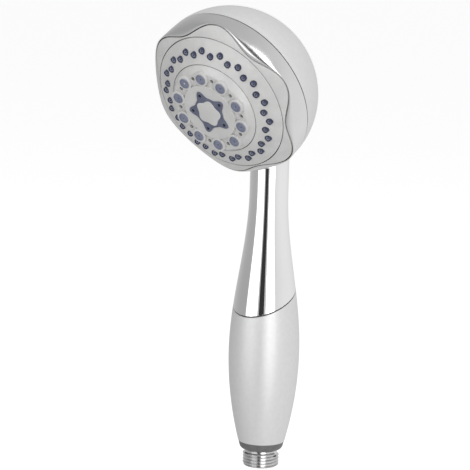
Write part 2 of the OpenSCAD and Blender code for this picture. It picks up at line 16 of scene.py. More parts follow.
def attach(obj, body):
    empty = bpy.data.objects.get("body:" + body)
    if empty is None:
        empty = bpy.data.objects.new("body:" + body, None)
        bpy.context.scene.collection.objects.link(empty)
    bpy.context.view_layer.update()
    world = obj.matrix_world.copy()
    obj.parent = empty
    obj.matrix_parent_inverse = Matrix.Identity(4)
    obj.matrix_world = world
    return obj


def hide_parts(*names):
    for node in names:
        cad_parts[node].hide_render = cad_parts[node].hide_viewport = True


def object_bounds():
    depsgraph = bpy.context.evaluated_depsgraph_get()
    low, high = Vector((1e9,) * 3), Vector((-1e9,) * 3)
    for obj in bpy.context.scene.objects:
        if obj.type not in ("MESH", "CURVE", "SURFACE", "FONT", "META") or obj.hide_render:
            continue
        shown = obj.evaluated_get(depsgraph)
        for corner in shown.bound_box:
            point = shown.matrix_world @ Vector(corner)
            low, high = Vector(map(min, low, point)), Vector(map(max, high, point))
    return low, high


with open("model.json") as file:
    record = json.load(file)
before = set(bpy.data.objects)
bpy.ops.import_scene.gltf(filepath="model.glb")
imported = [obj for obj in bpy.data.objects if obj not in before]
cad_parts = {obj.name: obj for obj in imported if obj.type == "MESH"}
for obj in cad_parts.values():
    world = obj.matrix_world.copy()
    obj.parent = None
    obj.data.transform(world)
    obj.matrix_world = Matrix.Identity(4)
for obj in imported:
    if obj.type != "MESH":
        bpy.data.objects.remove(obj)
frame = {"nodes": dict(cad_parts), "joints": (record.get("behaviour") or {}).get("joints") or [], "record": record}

cad_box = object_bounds()
MM = 0.001
print("CAD box", [round(side / MM, 1) for side in cad_box[1] - cad_box[0]], "mm")

# %% [markdown]
# The head is tipped, so its pieces are easier to shape lying flat and then stand up in place.
# The selector's joint gives the face's middle and the way that it looks. From those two comes a
# matrix that turns "flat on the table" into "in the head": x stays x, y runs up the face, and z
# is the direction of the spray.

# %% The head's own frame
selector = next(joint for joint in frame["joints"] if joint["name"] == "spray_selector")
spray_way = Vector(selector["axis"]).normalized()
face_up = spray_way.cross(Vector((1, 0, 0)))
HEAD = Matrix.Translation(Vector(selector["pos_m"])) @ Matrix(
    ((1, face_up.x, spray_way.x), (0, face_up.y, spray_way.y), (0, face_up.z, spray_way.z))
).to_4x4()
print("the face is tipped", round(degrees(asin(-spray_way.z)), 1), "degrees down")

# %% [markdown]
# ## Camera
# A long lens from well away keeps the handle straight, as in a catalogue. The camera stands to
# the right of the spray face, a little above it, and leans over by less than two degrees.

# %% Camera
EYE = Vector((0.675, -0.896, 0.321))
LOOK_ROUND = radians(37.94)
LOOK_DOWN = radians(9.45)
LEAN = radians(1.65)
LENS, SENSOR_W = 152.9, 36
bpy.ops.object.camera_add(location=EYE)
camera = bpy.context.object
camera.name = "camera"
camera.matrix_world = (
    Matrix.Translation(EYE)
    @ Matrix.Rotation(LOOK_ROUND, 4, "Z")
    @ Matrix.Rotation(pi / 2 - LOOK_DOWN, 4, "X")
    @ Matrix.Rotation(LEAN, 4, "Z")
)
camera.data.lens = LENS
camera.data.sensor_width = SENSOR_W
bpy.context.scene.camera = camera
print("camera at", [round(value, 3) for value in EYE])

# %% [markdown]
# ## Helpers for shaping
# Most of this object is round. A turned piece is made as on a lathe: one vertex is drawn out
# into half an outline, and the Spin operator carries the outline round the axis. A primitive
# cylinder could be cut down instead, but an outline keeps every radius and chamfer in one list.

# %% Select nothing, finish an edit, and turn an outline
def clear_selection():
    if bpy.context.object and bpy.context.object.mode != "OBJECT":
        bpy.ops.object.mode_set(mode="OBJECT")
    bpy.ops.object.select_all(action="DESELECT")


def make_active(piece):
    clear_selection()
    piece.select_set(True)
    bpy.context.view_layer.objects.active = piece


def finish_mesh(piece, crease=32, merge=0.001):
    """Merge vertices closer than merge, in millimetres, face outwards and shade up to crease."""
    make_active(piece)
    bpy.ops.object.mode_set(mode="EDIT")
    bpy.ops.mesh.select_all(action="SELECT")
    bpy.ops.mesh.remove_doubles(threshold=merge * MM)
    bpy.ops.mesh.normals_make_consistent(inside=False)
    bpy.ops.object.mode_set(mode="OBJECT")
    bpy.ops.object.shade_smooth_by_angle(angle=radians(crease))
    return piece


def turned(name, outline, steps=192, closed=True, crease=32):
    """Spin a list of (radius, height) points, in millimetres, round Z."""
    clear_selection()
    start = Vector((outline[0][0], 0, outline[0][1])) * MM
    bpy.ops.mesh.primitive_plane_add(size=MM, location=start)
    piece = bpy.context.object
    piece.name = name
    piece.data.name = name
    bpy.ops.object.transform_apply(location=True, rotation=True, scale=True)
    bpy.ops.object.mode_set(mode="EDIT")
    bpy.ops.mesh.merge(type="CENTER")
    path = list(outline) + ([outline[0]] if closed else [])
    for here, there in zip(path, path[1:]):
        step = ((there[0] - here[0]) * MM, 0, (there[1] - here[1]) * MM)
        bpy.ops.mesh.extrude_vertices_move(TRANSFORM_OT_translate={"value": step})
    bpy.ops.mesh.select_all(action="SELECT")
    bpy.ops.mesh.spin(steps=steps, angle=tau, center=(0, 0, 0), axis=(0, 0, 1))
    return finish_mesh(piece, crease)


def stand_in_head(piece):
    """Carry a piece that was shaped flat into the tipped head."""
    make_active(piece)
    piece.matrix_world = HEAD @ piece.matrix_world
    bpy.ops.object.transform_apply(location=True, rotation=True, scale=True)
    return piece


def boolean(piece, cutter, operation):
    """Apply a Boolean modifier, then remove the cutter."""
    make_active(piece)
    cut = piece.modifiers.new("cut", "BOOLEAN")
    cut.operation = operation
    cut.solver = "EXACT"
    cut.object = cutter
    bpy.ops.object.modifier_apply(modifier=cut.name)
    bpy.data.objects.remove(cutter, do_unlink=True)
    return piece


def tell(piece):
    size = [round(side / MM, 1) for side in piece.dimensions]
    print(piece.name, len(piece.data.polygons), "faces,", size, "mm")


# %% [markdown]
# Rounded edges catch the light, and a sharp CAD corner never does. This helper puts a short
# curve at a corner of an outline, so that a turned piece comes off the lathe already rounded.
# The curve is a parabola that starts and ends a set distance back from the corner: it needs no
# centre point, and at this size nobody can tell it from an arc.

# %% Round a corner of an outline
def rounded(before, corner, after, setback, steps=5):
    """Points of a curve that replaces a corner, between its two neighbours."""
    corner = Vector(corner)
    to_before = (Vector(before) - corner).normalized()
    to_after = (Vector(after) - corner).normalized()
    start, end = corner + to_before * setback, corner + to_after * setback
    curve = []
    for i in range(steps + 1):
        t = i / steps
        curve.append(tuple(start * (1 - t) ** 2 + corner * 2 * t * (1 - t) + end * t ** 2))
    return curve


def soften(outline, setbacks):
    """Round the numbered corners of a closed outline: setbacks is {corner number: setback}."""
    result = []
    for i, corner in enumerate(outline):
        if i in setbacks:
            before, after = outline[i - 1], outline[(i + 1) % len(outline)]
            result += rounded(before, corner, after, setbacks[i])
        else:
            result.append(corner)
    return result


# %% [markdown]
# ## Materials
# Every finish is made of nodes that read Object coordinates, so it stays on the piece in every
# pose. One helper lays down what all of them share: a slightly uneven colour, a slightly uneven
# gloss, and a fine relief. What differs between plastic, rubber and plating is the size and the
# strength of each, so each material is one call with its own values.

# %% The shared material recipe
CLOUD_GRAINS = 12          # a cloud of colour is as wide as this many grains
RELIEF_DEPTH = 0.1         # height of the fine relief at full strength, in mm
COAT_ROUGHNESS = 0.12
NOISE_LOW, NOISE_HIGH = 0.3, 0.7     # most of a noise texture's values lie between these


def grained(name, dark, light, metallic, rough, grain, relief, stretch=(1, 1, 1), coat=0.0):
    """dark and light are the colour's two ends, rough its two ends, grain in mm."""
    material = bpy.data.materials.new(name)
    material.use_nodes = True
    nodes, links = material.node_tree.nodes, material.node_tree.links
    shader = nodes["Principled BSDF"]
    shader.inputs["Metallic"].default_value = metallic
    shader.inputs["Coat Weight"].default_value = coat
    shader.inputs["Coat Roughness"].default_value = COAT_ROUGHNESS
    place = nodes.new("ShaderNodeTexCoord")
    spread = nodes.new("ShaderNodeMapping")
    spread.inputs["Scale"].default_value = stretch
    links.new(place.outputs["Object"], spread.inputs["Vector"])

    cloud = nodes.new("ShaderNodeTexNoise")
    cloud.inputs["Scale"].default_value = 1 / (CLOUD_GRAINS * grain * MM)
    cloud.inputs["Detail"].default_value = 3
    links.new(spread.outputs["Vector"], cloud.inputs["Vector"])
    tint = nodes.new("ShaderNodeValToRGB")
    tint.color_ramp.elements[0].position = NOISE_LOW
    tint.color_ramp.elements[0].color = (*dark, 1)
    tint.color_ramp.elements[1].position = NOISE_HIGH
    tint.color_ramp.elements[1].color = (*light, 1)
    links.new(cloud.outputs["Fac"], tint.inputs["Fac"])
    links.new(tint.outputs["Color"], shader.inputs["Base Color"])

    fine = nodes.new("ShaderNodeTexNoise")
    fine.inputs["Scale"].default_value = 1 / (grain * MM)
    fine.inputs["Detail"].default_value = 4
    fine.inputs["Roughness"].default_value = 0.6
    links.new(spread.outputs["Vector"], fine.inputs["Vector"])
    gloss = nodes.new("ShaderNodeMapRange")
    gloss.inputs["From Min"].default_value = NOISE_LOW
    gloss.inputs["From Max"].default_value = NOISE_HIGH
    gloss.inputs["To Min"].default_value = rough[0]
    gloss.inputs["To Max"].default_value = rough[1]
    links.new(fine.outputs["Fac"], gloss.inputs["Value"])
    links.new(gloss.outputs["Result"], shader.inputs["Roughness"])

    bump = nodes.new("ShaderNodeBump")
    bump.inputs["Strength"].default_value = relief
    bump.inputs["Distance"].default_value = RELIEF_DEPTH * MM
    links.new(fine.outputs["Fac"], bump.inputs["Height"])
    links.new(bump.outputs["Normal"], shader.inputs["Normal"])
    return material


def grey(value, warm=0.0):
    return (value + warm, value, value - warm)


# %% [markdown]
# The dome and the grip are matt chromed: a metal film over a fine blasted texture. It is not a
# mirror, and it isn't flat paint either, so it is less than half metallic, with a broad highlight
# and a fine grain. The neck is bright chrome, and only its faint waviness and wiping marks break the
# mirror. The scalloped ring is pearl chrome, between the two.

# %% Plated finishes
materials = {
    "satin_silver": grained("satin_silver", grey(0.64), grey(0.67), 0.4, (0.38, 0.46), 0.2, 0.16),
    "chrome": grained("bright_chrome", grey(0.86), grey(0.92), 1.0, (0.025, 0.06), 6, 0.02),
    "ring_chrome": grained("pearl_chrome", grey(0.74), grey(0.79), 1.0, (0.19, 0.23), 2.5, 0.01),
    "thread_chrome": grained(
        "thread_chrome", grey(0.62), grey(0.74), 1.0, (0.12, 0.24), 0.6, 0.1, (1, 1, 12)),
    "spring_steel": grained(
        "drawn_steel", grey(0.5), grey(0.62), 1.0, (0.22, 0.36), 0.4, 0.15, (1, 1, 8)),
    "brass": grained(
        "turned_brass", (0.62, 0.44, 0.2), (0.76, 0.58, 0.3), 1.0, (0.2, 0.32), 0.5, 0.12,
        (1, 1, 10)),
}
print(len(materials), "plated and metal finishes")

# %% [markdown]
# The spray face and its trim are light grey moulded plastic with a soft sheen. The dark ring at
# the grip's end is the same kind of plastic, dyed. Inside, the water parts are natural and
# glass-filled plastics, whose fibres show as a cloudy, slightly rough skin.

# %% Moulded plastics
materials.update({
    "face_grey": grained(
        "face_plastic", grey(0.49, 0.004), grey(0.54, 0.004), 0.0, (0.26, 0.34), 0.5, 0.06,
        coat=0.35),
    "dark_grey": grained(
        "end_ring_plastic", grey(0.105), grey(0.135), 0.0, (0.36, 0.48), 0.25, 0.18),
    "white_plastic": grained(
        "natural_plastic", grey(0.74, 0.01), grey(0.82, 0.01), 0.0, (0.36, 0.46), 0.6, 0.08),
    "inner_plastic": grained(
        "glass_filled_plastic", grey(0.58, 0.01), grey(0.7, 0.01), 0.0, (0.42, 0.58), 0.4, 0.2),
    "green_plastic": grained(
        "green_plastic", (0.12, 0.4, 0.22), (0.17, 0.48, 0.28), 0.0, (0.34, 0.44), 0.5, 0.08),
    "rotor_acetal": grained(
        "ivory_acetal", (0.68, 0.62, 0.46), (0.76, 0.7, 0.55), 0.0, (0.3, 0.4), 0.5, 0.06),
})

# %% [markdown]
# Silicone and rubber scatter a little dust and lime, so their colour is cloudy at the scale of
# a millimetre. The small nozzles are painted the deepest slate blue, darker than their silicone,
# as painted shade on their sides, and their cups take the lighter silicone as a painted lit top.
# The star is lighter, and the broad nozzles are the lightest. The seals are nearly black. The
# seam's rubber is painted nearly black too, as painted shade in its gap, and the same finish
# paints shade on the floor and wall of the ring's pocket.

# %% Rubbers
materials.update({
    # The small nozzles' silicone is darkened past its slate blue as painted shade, and the lighter silicone below
    # also paints their cups as a lit top.
    "nozzle_rubber": grained(
        "small_nozzle_silicone_and_painted_shade", (0.018, 0.023, 0.055), (0.035, 0.043, 0.085), 0.0, (0.3, 0.42), 0.3,
        0.1),
    "nozzle_rubber_light": grained(
        "large_silicone_and_painted_lit_cup", (0.145, 0.16, 0.225), (0.195, 0.212, 0.285), 0.0, (0.28, 0.4), 0.3,
        0.1),
    "star_slate": grained(
        "star_silicone", (0.075, 0.085, 0.135), (0.115, 0.126, 0.18), 0.0, (0.32, 0.44), 0.3, 0.1),
    # The seam finish is darker than the rubber's own colour: it is painted shade in the seam's gap and in the
    # ring's pocket.
    "dark_seam": grained("seam_rubber_and_painted_shade", grey(0.01), grey(0.018), 0.0, (0.55, 0.7), 0.3, 0.15),
    "black_rubber": grained("seal_rubber", grey(0.012), grey(0.025), 0.0, (0.4, 0.55), 0.3, 0.15),
})
print(len(materials), "finishes in all")

# %% [markdown]
# The CAD nodes that stay are mostly inside: tube, elbow, valve, seals and screws. Each takes the
# finish of its slot in the record. New pieces take theirs from the same table, so that one
# helper can paint a piece with the finish of a given slot, put it on its body and hide the node it stands for.

# %% Paint the CAD nodes, and a helper for new pieces
slot_of = {part["node"]: part["material_slot"] for part in frame["record"]["subparts"]}
for node_name, node in frame["nodes"].items():
    finish = materials[slot_of[node_name]]
    if node.material_slots:
        for place in node.material_slots:
            place.material = finish
    else:
        node.data.materials.append(finish)
print(len(frame["nodes"]), "CAD nodes painted")


def hand_over(piece, body, slot, *nodes):
    """Paint a finished piece, ride it on its body, and let it replace CAD nodes."""
    if not piece.data.materials:
        piece.data.materials.append(materials[slot])
    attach(piece, body)
    if nodes:
        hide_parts(*nodes)
    tell(piece)


def two_tone(piece, main, second, is_second):
    """Paint a flat-lying piece with two finishes: is_second(x, y, z), in mm, picks the faces."""
    piece.data.materials.clear()
    piece.data.materials.append(materials[main])
    piece.data.materials.append(materials[second])
    for face in piece.data.polygons:
        face.material_index = int(is_second(*(face.center / MM)))


# %% [markdown]
# ## The handle's outline
# Grip and neck are one flowing line: narrow at the thread, fat about a third of the way up the
# handle, and slim under the head. The lower part is a parabola, and the long taper is half a
# wave of a cosine, which meets both the belly and the straight neck without a kink. Above the
# neck the line closes in an ellipse that is buried in the dome.

# %% Handle outline
BELLY_R, BELLY_Z = 20.3, 67
GRIP_END_R, GRIP_Z = 13.3775, 14.6
NECK_R, NECK_Z = 11, 160
CLOSE_Z, CLOSE_LEN = 183.3, 36
SEAM_Z, SEAM_TILT, SEAM_GAP = 99.3, radians(26), 0.8


def handle_r(z):
    if z < BELLY_Z:
        return BELLY_R - (BELLY_R - GRIP_END_R) * ((BELLY_Z - z) / (BELLY_Z - GRIP_Z)) ** 2
    if z < NECK_Z:
        t = (z - BELLY_Z) / (NECK_Z - BELLY_Z)
        return NECK_R + (BELLY_R - NECK_R) * (0.5 + 0.5 * cos(pi * t))
    if z < CLOSE_Z:
        return NECK_R
    return NECK_R * sqrt(max(0, 1 - ((z - CLOSE_Z) / CLOSE_LEN) ** 2))


def handle_line(low, high, grow=0.0, steps=60):
    heights = [low + (high - low) * i / steps for i in range(steps + 1)]
    return [(max(0, handle_r(z) + grow), z) for z in heights]


print("widest", 2 * BELLY_R, "mm, neck", 2 * NECK_R, "mm")

# %% [markdown]
# ## Grip
# The grip is a hollow sleeve whose top is cut off at a slant. It is turned a little too long
# and then cut with the Bisect operator, which fills the cut, so the slanted end is exact. A
# bevel on that one edge gives the thin bright lip that a moulded edge has.

# %% Grip sleeve
ON_PLANE = 0.002           # a vertex this close to the slanting cut lies on it, in mm


def slant_cut(piece, lift, keep_below):
    """Cut a turned piece at the slanting seam, raised by lift millimetres, and close it."""
    make_active(piece)
    bpy.ops.object.mode_set(mode="EDIT")
    bpy.ops.mesh.select_all(action="SELECT")
    bpy.ops.mesh.bisect(
        plane_co=(0, 0, (SEAM_Z + lift) * MM),
        plane_no=(0, -sin(SEAM_TILT), cos(SEAM_TILT)),
        use_fill=True,
        clear_outer=keep_below,
        clear_inner=not keep_below,
    )
    bpy.ops.object.mode_set(mode="OBJECT")


def bevel_slant(piece, lift, width):
    """Bevel the edges that lie on the slanting seam's plane."""
    make_active(piece)
    bpy.ops.object.mode_set(mode="EDIT")
    bpy.ops.mesh.select_all(action="DESELECT")
    bpy.ops.object.mode_set(mode="OBJECT")
    middle = Vector((0, 0, (SEAM_Z + lift) * MM))
    slant = Vector((0, -sin(SEAM_TILT), cos(SEAM_TILT)))
    mesh = piece.data
    on_plane = [abs((v.co - middle).dot(slant)) < ON_PLANE * MM for v in mesh.vertices]
    for edge in mesh.edges:
        edge.select = all(on_plane[v] for v in edge.vertices)
    bpy.ops.object.mode_set(mode="EDIT")
    bpy.ops.mesh.bevel(offset=width * MM, segments=3, profile=0.5, affect="EDGES")
    bpy.ops.object.mode_set(mode="OBJECT")


GRIP_WALL, FOOT_EDGE, GRIP_LIP = 2.2, 0.3, 0.15
grip_top = SEAM_Z + BELLY_R
foot_inside, foot_outside = (GRIP_END_R - GRIP_WALL, GRIP_Z), (GRIP_END_R, GRIP_Z)
above_foot = (handle_r(GRIP_Z + 2), GRIP_Z + 2)
grip_outline = [foot_inside] + rounded(foot_inside, foot_outside, above_foot, FOOT_EDGE)
grip_outline += handle_line(GRIP_Z + 0.5, grip_top)
grip_outline += handle_line(grip_top, GRIP_Z + 1, -GRIP_WALL)
grip = turned("grip", grip_outline, 256)
slant_cut(grip, -SEAM_GAP / 2, keep_below=True)
finish_mesh(grip)
bevel_slant(grip, -SEAM_GAP / 2, GRIP_LIP)
finish_mesh(grip)
hand_over(grip, "handset", "satin_silver", "grip_sleeve")

# %% [markdown]
# ## Neck
# The chrome neck is a thin shell too. Its lower end is cut at the same slant, one seam's width
# above the grip's end, and its upper end runs on into the dome, where the dome's inside face
# trims it. Below the seam a plain tube, the coupling, pushes into the grip. The neck needs the
# finest outline of all, because a mirror shows every flat.

# %% Neck sleeve
NECK_WALL, NECK_LIP = 1.3, 0.12
TIP_LEFT_OFF, TIP_WALL = 0.6, 2.2
neck_low, neck_high = SEAM_Z - BELLY_R, CLOSE_Z + CLOSE_LEN - TIP_LEFT_OFF
neck_outline = handle_line(neck_low, neck_high, 0, 120)
neck_outline += handle_line(neck_high - TIP_WALL, neck_low, -NECK_WALL, 60)
neck = turned("neck", neck_outline, 256)
slant_cut(neck, SEAM_GAP / 2, keep_below=False)
finish_mesh(neck)
bevel_slant(neck, SEAM_GAP / 2, NECK_LIP)

# %% [markdown]
# The seam climbs across the handle, which gets slimmer as it goes up. The coupling is a straight
# tube, so its radius comes from a place part of the way up the slant.

# %% Neck coupling
COUPLING_WALL, COUPLING_INSET, SLANT_SHARE = 1.4, 2.2, 0.45
COUPLING_BELOW, COUPLING_ABOVE = 15, 9
coupling_r = handle_r(SEAM_Z + BELLY_R * tan(SEAM_TILT) * SLANT_SHARE) - COUPLING_INSET
coupling_low, coupling_high = SEAM_Z - COUPLING_BELOW, SEAM_Z + COUPLING_ABOVE
coupling_corners = [
    (coupling_r - COUPLING_WALL, coupling_low), (coupling_r, coupling_low),
    (coupling_r, coupling_high), (coupling_r - COUPLING_WALL, coupling_high)]
coupling = turned("neck_coupling", soften(coupling_corners, {0: 0.3, 1: 0.5, 2: 0.2, 3: 0.2}), 128)
hand_over(coupling, "handset", "chrome")

# %% [markdown]
# ## Dome
# The back of the head is nearly half an ellipsoid, a little less deep than its radius. Its
# outline is most of a quarter ellipse, turned once, with a wall inside and a rounded rim. The handle
# passes through its lower back, so the handle's own outline, grown by the push fit, is used as a
# cutter with a Boolean modifier.

# %% Back shell
HEAD_R, DOME_LEAD, DOME_DEPTH, SHELL_WALL = 48, 22, 46, 2
RIM_STEP, RIM_EDGE = 2.8, 0.35
SEAM_H = -DOME_LEAD - RIM_STEP
PUSH_FIT = 0.05


def dome_line(wall, steps=56):
    """The ellipse from the rim to the pole, shrunk by a wall."""
    start = asin((-DOME_LEAD - SEAM_H) / (DOME_DEPTH - wall))
    points = []
    for i in range(steps + 1):
        a = start + (pi / 2 - start) * i / steps
        r = 0 if i == steps else (HEAD_R - wall) * cos(a)
        points.append((r, -DOME_LEAD - (DOME_DEPTH - wall) * sin(a)))
    return points


outer, inner = dome_line(0), dome_line(SHELL_WALL)
rim = rounded(outer[2], outer[0], inner[0], RIM_EDGE)
shell_outline = rim + outer[2:] + inner[::-1]
dome = turned("dome", shell_outline[::-1], 256)
stand_in_head(dome)
CUTTER_LOW = 60
cutter_line = [(0, CUTTER_LOW)] + handle_line(CUTTER_LOW, CLOSE_Z + CLOSE_LEN, PUSH_FIT, 90)
handle_cutter = turned("handle_cutter", cutter_line, 192, closed=False)
boolean(dome, handle_cutter, "DIFFERENCE")
finish_mesh(dome)
hand_over(dome, "handset", "satin_silver", "back_shell")

# %% Trim the neck inside the dome
TRIM_REACH = 30
trim_top = -DOME_LEAD + TRIM_REACH
trim_line = [(0, trim_top), (HEAD_R - SHELL_WALL, trim_top)] + dome_line(SHELL_WALL)
inside = turned("inside_cutter", trim_line, 128, closed=False)
stand_in_head(inside)
boolean(neck, inside, "DIFFERENCE")
finish_mesh(neck, 40)
hand_over(neck, "handset", "chrome", "neck_sleeve")

# %% [markdown]
# ## End ring and thread
# The dark ring closes the grip's lower end with a flared chamfer. The hose thread is a helix of
# 1.814 mm pitch. A stack of rings would look nearly right, but a real thread climbs, so one
# tooth is drawn and the Screw modifier winds it round the stub. Where the thread starts, a
# chamfered cylinder trims the tooth, just as the lead-in is turned on the real part.

# %% End ring
THREAD_LEN, THREAD_R, ROOT_R, PITCH = 10.2, 10.4775, 9.3157, 1.814
END_BORE_R, END_FOOT, END_FLARE, END_FLARE_H, END_STEP = 9.47, 0.9, 1.9, 1.1, 0.15
ring_corners = [
    (END_BORE_R, THREAD_LEN), (THREAD_R + END_FOOT, THREAD_LEN),
    (THREAD_R + END_FLARE, THREAD_LEN + END_FLARE_H), (GRIP_END_R - END_STEP, GRIP_Z),
    (END_BORE_R, GRIP_Z)]
end_ring = turned("grip_end_ring", soften(ring_corners, {1: 0.25, 2: 0.3, 3: 0.12}), 192, crease=40)
hand_over(end_ring, "handset", "dark_grey", "end_ring")

# %% Stub with its bore
SPIGOT_R, SPIGOT_TOP, BORE_R, MOUTH_R, MOUTH_H = 9.42, 36, 4.2, 7.2, 3.2
LIMITER_R, LIMITER_TOP, SOCKET_R, SOCKET_Z = 6.25, 11.2, 6.55, 26
CORE_R, GROOVE_R, GROOVE_LOW, GROOVE_DEEP = ROOT_R - 0.1, ROOT_R - 0.5, 0.9, 0.5
stub_corners = [
    (MOUTH_R, 0), (CORE_R, 0), (CORE_R, THREAD_LEN - GROOVE_LOW), (GROOVE_R, THREAD_LEN - GROOVE_DEEP),
    (SPIGOT_R, THREAD_LEN), (SPIGOT_R, SPIGOT_TOP), (SOCKET_R, SPIGOT_TOP), (SOCKET_R, SOCKET_Z),
    (BORE_R, SOCKET_Z), (BORE_R, LIMITER_TOP), (LIMITER_R, LIMITER_TOP), (LIMITER_R, MOUTH_H),
    (MOUTH_R, MOUTH_H)]
stub = turned("hose_stub", soften(stub_corners, {0: 0.3, 1: 0.35, 5: 0.3, 6: 0.2}), 192)

# %% Helical tooth, wound with the Screw modifier
TOOTH_FLANK, TOOTH_CREST, TOOTH_SINK, ROOT_SPREAD = 0.605, 0.15, 0.35, 0.1
CREST_DROP, CREST_OUT, CREST_IN = 0.06, 0.03, 0.05
TURN_STEPS, TURNS, START_BELOW = 96, 5, 1.2
clear_selection()
bpy.ops.mesh.primitive_plane_add(size=MM)
tooth = bpy.context.object
tooth.name = "tooth"
half_root = TOOTH_FLANK + TOOTH_CREST + ROOT_SPREAD
upper_half = [
    (THREAD_R, TOOTH_CREST - CREST_IN), (THREAD_R - CREST_DROP, TOOTH_CREST + CREST_OUT),
    (ROOT_R - TOOTH_SINK, half_root)]
profile = [(r, -z) for r, z in reversed(upper_half)] + upper_half
bpy.ops.object.mode_set(mode="EDIT")
bpy.ops.mesh.merge(type="CENTER")
bpy.ops.transform.translate(value=(profile[0][0] * MM, 0, profile[0][1] * MM))
for here, there in zip(profile, profile[1:]):
    step = ((there[0] - here[0]) * MM, 0, (there[1] - here[1]) * MM)
    bpy.ops.mesh.extrude_vertices_move(TRANSFORM_OT_translate={"value": step})
bpy.ops.mesh.select_all(action="SELECT")
bpy.ops.mesh.edge_face_add()
bpy.ops.transform.translate(value=(0, 0, -START_BELOW * MM))
bpy.ops.object.mode_set(mode="OBJECT")
wind = tooth.modifiers.new("wind", "SCREW")
wind.axis = "Z"
wind.steps = TURN_STEPS
wind.render_steps = TURN_STEPS
wind.iterations = TURNS
wind.screw_offset = PITCH * MM
wind.use_merge_vertices = True
wind.merge_threshold = 0.0001 * MM
make_active(tooth)
bpy.ops.object.modifier_apply(modifier=wind.name)
print("tooth wound:", len(tooth.data.polygons), "faces")

# %% Close the helix's ends and trim them
def fill_open_edges(piece):
    """Cap every open loop of a mesh."""
    make_active(piece)
    bpy.ops.object.mode_set(mode="EDIT")
    bpy.ops.mesh.select_mode(type="EDGE")
    bpy.ops.mesh.select_all(action="DESELECT")
    bpy.ops.mesh.select_non_manifold(extend=False)
    bpy.ops.mesh.edge_face_add()
    bpy.ops.mesh.select_mode(type="VERT")
    bpy.ops.object.mode_set(mode="OBJECT")


fill_open_edges(tooth)
finish_mesh(tooth, merge=0.0001)
LEAD_IN, LEAD_IN_SLOPE, RUN_OUT, RUN_OUT_Z, TOOTH_TOP = 0.9, 1.1, 0.7, 9.1, 9.7
outside_r = THREAD_R + 0.2
envelope_line = [
    (0, 0), (THREAD_R - LEAD_IN, 0), (outside_r, LEAD_IN * LEAD_IN_SLOPE), (outside_r, RUN_OUT_Z),
    (THREAD_R - RUN_OUT, TOOTH_TOP), (0, TOOTH_TOP)]
envelope = turned("thread_envelope", envelope_line, 128, closed=False)
boolean(tooth, envelope, "INTERSECT")
boolean(stub, tooth, "UNION")
finish_mesh(stub, 28, 0.0005)
hand_over(stub, "handset", "thread_chrome", "inlet_connector")

# %% [markdown]
# ## The scalloped ring and its trim
# Six lobes for wet fingers run round the head. Seen from the front, their outline is a circle
# whose radius swings with a cosine. The chrome ring's outside starts at that wavy lip and
# sweeps back to a plain circle where it meets the dome, so the space between two lobes becomes a
# scoop. A Spin can't do that, because the section changes with the angle. Instead a circle is
# extruded into a stack of loops, the first and the last are bridged into a closed tube, and
# then each vertex is moved to its place in the section of its own angle.

# %% Lobes and a ring whose section follows the angle
FACE_R, DISC_R, BAND_DROP, BAND_SLOPE, EDGE_GAP = 40.4, 27, 4.9, 0.46, 0.45
INNER_R = FACE_R + EDGE_GAP
TRIM_LEAST_W = 0.75
VALLEY_R, LOBES, LOBE_REACH, LOBE_TURN = INNER_R + TRIM_LEAST_W, 6, 6, radians(17)


def band_h(r):
    return -BAND_DROP - BAND_SLOPE * (r - DISC_R)


def lobe(a):
    return 0.5 + 0.5 * cos(LOBES * (a - LOBE_TURN))


def trim_r(a):
    return VALLEY_R + LOBE_REACH * lobe(a)


def shaped_ring(name, section, count=288, crease=32):
    """A closed ring; section(angle) lists its (radius, height) points in millimetres."""
    levels = len(section(0))
    clear_selection()
    bpy.ops.mesh.primitive_circle_add(vertices=count, radius=FACE_R * MM, fill_type="NOTHING")
    ring = bpy.context.object
    ring.name = name
    ring.data.name = name
    bpy.ops.object.mode_set(mode="EDIT")
    for _ in range(levels - 1):
        bpy.ops.mesh.extrude_region_move(TRANSFORM_OT_translate={"value": (0, 0, MM)})
    bpy.ops.mesh.select_all(action="DESELECT")
    bpy.ops.object.mode_set(mode="OBJECT")
    last = levels - 1
    level_of = [round(v.co.z / MM) for v in ring.data.vertices]
    for edge in ring.data.edges:
        ends = {level_of[v] for v in edge.vertices}
        edge.select = ends == {0} or ends == {last}
    bpy.ops.object.mode_set(mode="EDIT")
    bpy.ops.mesh.select_mode(type="EDGE")
    bpy.ops.mesh.bridge_edge_loops()
    bpy.ops.mesh.select_mode(type="VERT")
    bpy.ops.object.mode_set(mode="OBJECT")
    for v, level in zip(ring.data.vertices, level_of):
        a = atan2(v.co.y, v.co.x)
        r, h = section(a)[level]
        v.co = Vector((r * cos(a), r * sin(a), h)) * MM
    return finish_mesh(ring, crease)


# %% Scalloped selector ring
RUNNING_GAP, POCKET_DEPTH = 0.5, 2.5
RING_BACK_H = SEAM_H + RUNNING_GAP
POCKET_H = band_h(VALLEY_R + LOBE_REACH) - POCKET_DEPTH
RING_BORE_R, RING_END_R, POCKET_GAP, LIP_W, BARREL = 40.98, 47.9, 0.4, 0.55, 0.3
LIP_DROP, LIP_SOFT, BACK_EDGE = 0.15, 0.18, 0.25
WALL_MARGIN, FLOOR_MARGIN, LIP_MARGIN = 0.08, 0.05, 0.2


def ring_section(a, steps=16):
    wall_r = trim_r(a) + POCKET_GAP
    lip_r = wall_r + LIP_W
    lip_h = band_h(lip_r) - LIP_DROP
    points = [(RING_BORE_R, RING_BACK_H), (RING_BORE_R, POCKET_H), (wall_r, POCKET_H)]
    points += rounded((wall_r, POCKET_H), (wall_r, lip_h), (lip_r, lip_h), LIP_SOFT, 3)
    for i in range(steps + 1):
        s = pi / 2 * i / steps
        r = lip_r + (RING_END_R - lip_r) * sin(s) + BARREL * lobe(a) * sin(2 * s)
        h = lip_h + (RING_BACK_H + BACK_EDGE - lip_h) * (1 - cos(s))
        points.append((r, h))
    return points + [(RING_END_R - BACK_EDGE, RING_BACK_H)]


